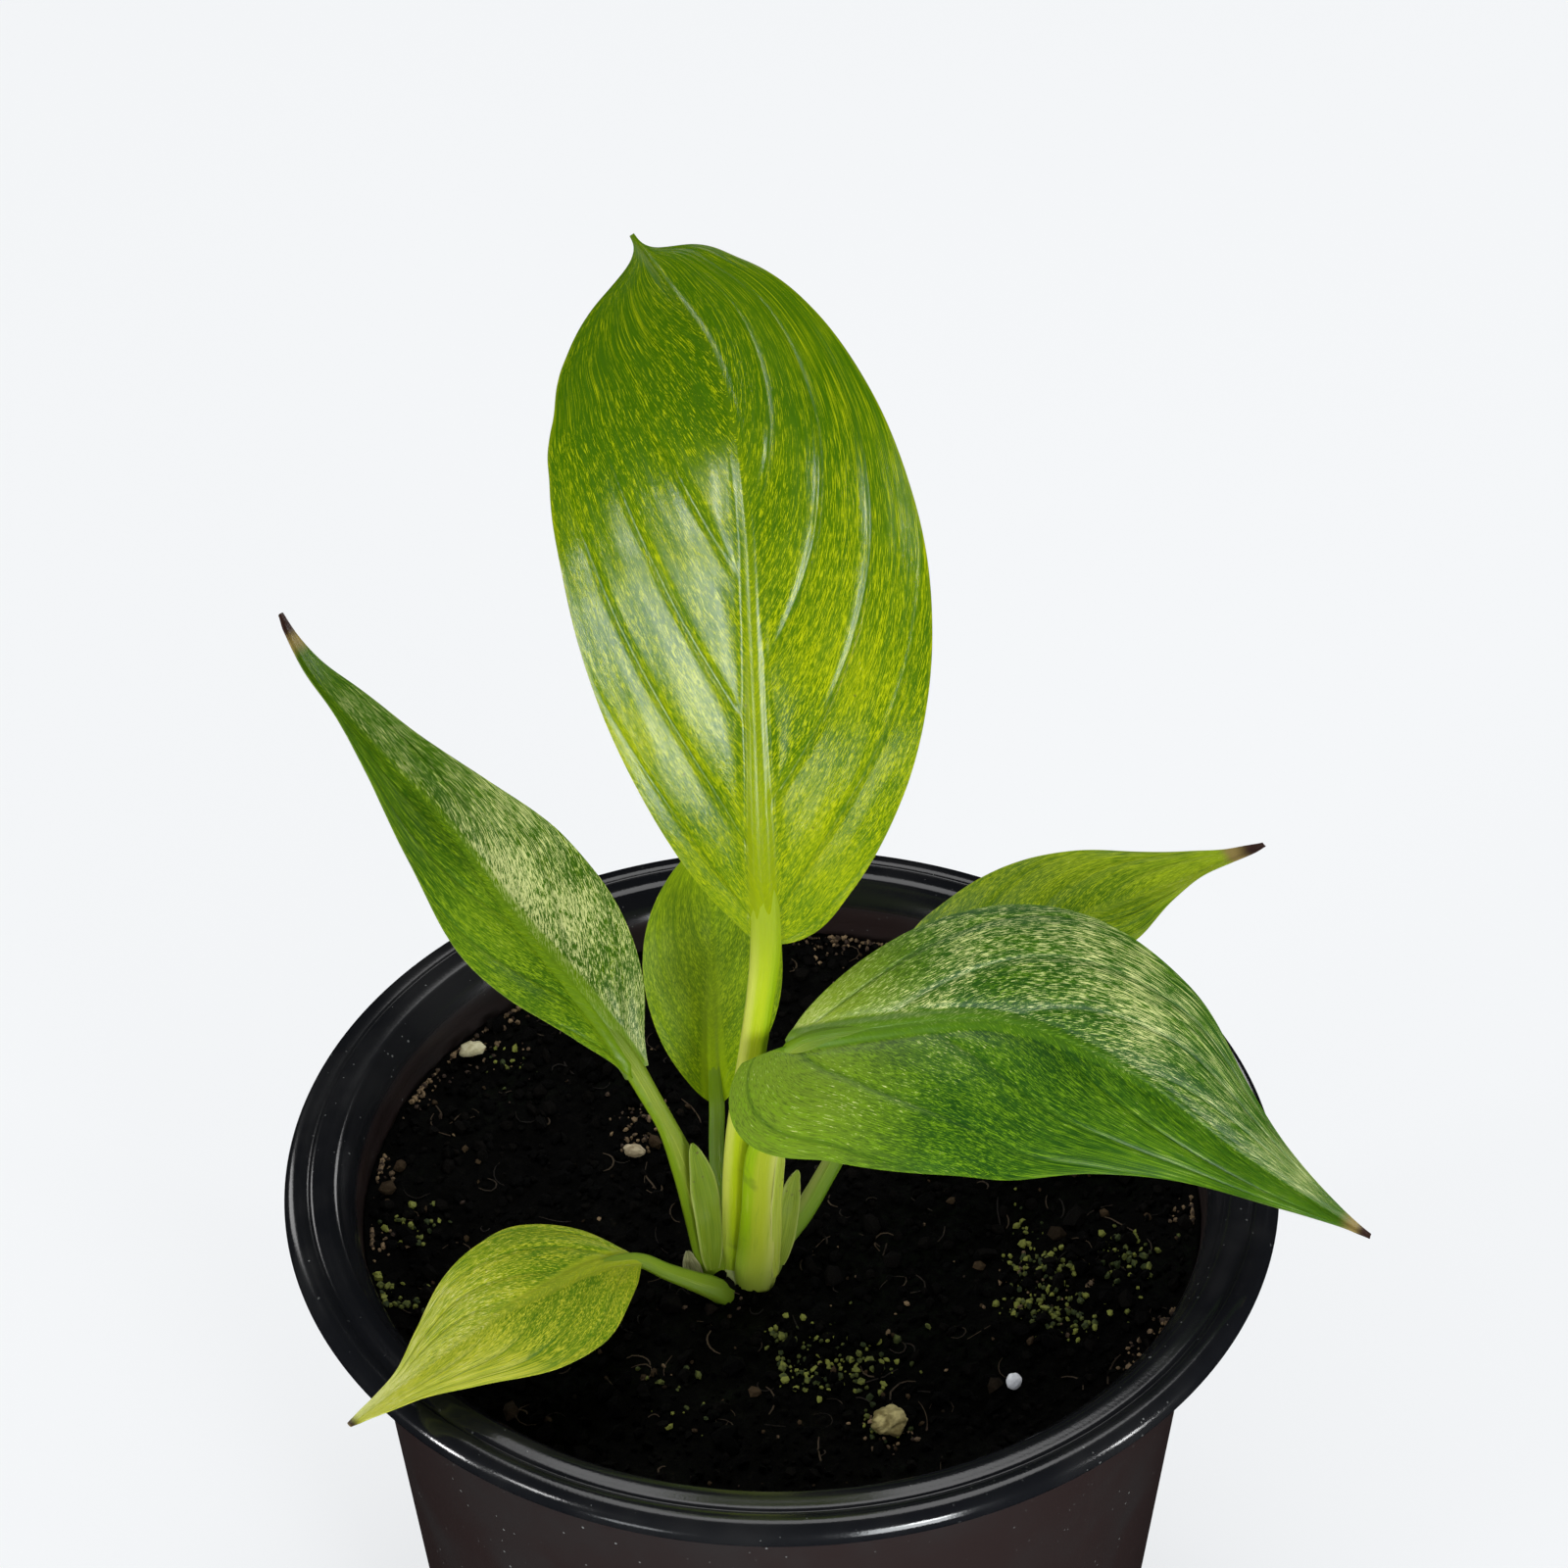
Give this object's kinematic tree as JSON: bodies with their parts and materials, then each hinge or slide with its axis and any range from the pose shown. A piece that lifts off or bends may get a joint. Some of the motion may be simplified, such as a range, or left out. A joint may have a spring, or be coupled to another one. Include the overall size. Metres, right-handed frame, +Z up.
{
  "type": "potted peace lily plant",
  "caption": "Young potted peace lily: upright and arching variegated oval leaves on sheathed stalks, rising from dark soil in a round black nursery pot with a rolled rim.",
  "frame": {"origin": "centre of the pot's flat base, on the surface it stands on", "axes": "+Z up along the pot's axis, the tallest way of the plant; -Y towards the viewer, whom the tall leaf's upper side faces; +X to the viewer's right, where the largest low leaf reaches"},
  "size_m": [0.1392, 0.13, 0.2299],
  "materials": {
    "black_polypropylene": "satin to glossy moulded plastic",
    "peat_soil": "damp, crumbly, near black",
    "crown_tissue": "matt plant tissue",
    "leaf_tall_centre": "waxy green, mottled with cream",
    "leaf_left": "waxy green, mottled with cream",
    "leaf_rear": "waxy green, mottled with cream",
    "leaf_right_front": "waxy green, mottled with cream",
    "leaf_right_rear": "waxy green, mottled with cream",
    "leaf_low_front": "waxy green, mottled with cream",
    "stalk_tall_centre": "smooth fleshy green",
    "stalk_left": "smooth fleshy green",
    "stalk_rear": "smooth fleshy green",
    "stalk_right_front": "smooth fleshy green",
    "stalk_right_rear": "smooth fleshy green",
    "stalk_low_front": "smooth fleshy green",
    "sheath_left": "thin pale green",
    "sheath_centre": "thin pale green",
    "sheath_right_rear": "thin pale green",
    "dry_scale": "papery, dry",
    "perlite": "white, porous",
    "bark_pale": "rough",
    "bark_tan": "rough",
    "fibre": "rough, fibrous"
  },
  "bodies": {
    "root": {"pot": "black_polypropylene", "potting_soil": "peat_soil", "crown": "crown_tissue", "blade_tall_centre": "leaf_tall_centre", "blade_left": "leaf_left", "blade_rear": "leaf_rear", "blade_right_front": "leaf_right_front", "blade_right_rear": "leaf_right_rear", "blade_low_front": "leaf_low_front", "stalk_tall_centre": "stalk_tall_centre", "stalk_left": "stalk_left", "stalk_rear": "stalk_rear", "stalk_right_front": "stalk_right_front", "stalk_right_rear": "stalk_right_rear", "stalk_low_front": "stalk_low_front", "sheath_left": "sheath_left", "sheath_centre": "sheath_centre", "sheath_right_rear": "sheath_right_rear", "dry_scale": "dry_scale", "perlite_bead": "perlite", "bark_chip_left": "bark_pale", "bark_chip_middle": "bark_tan", "fibre_clump_front": "fibre"}
  },
  "joints": []
}
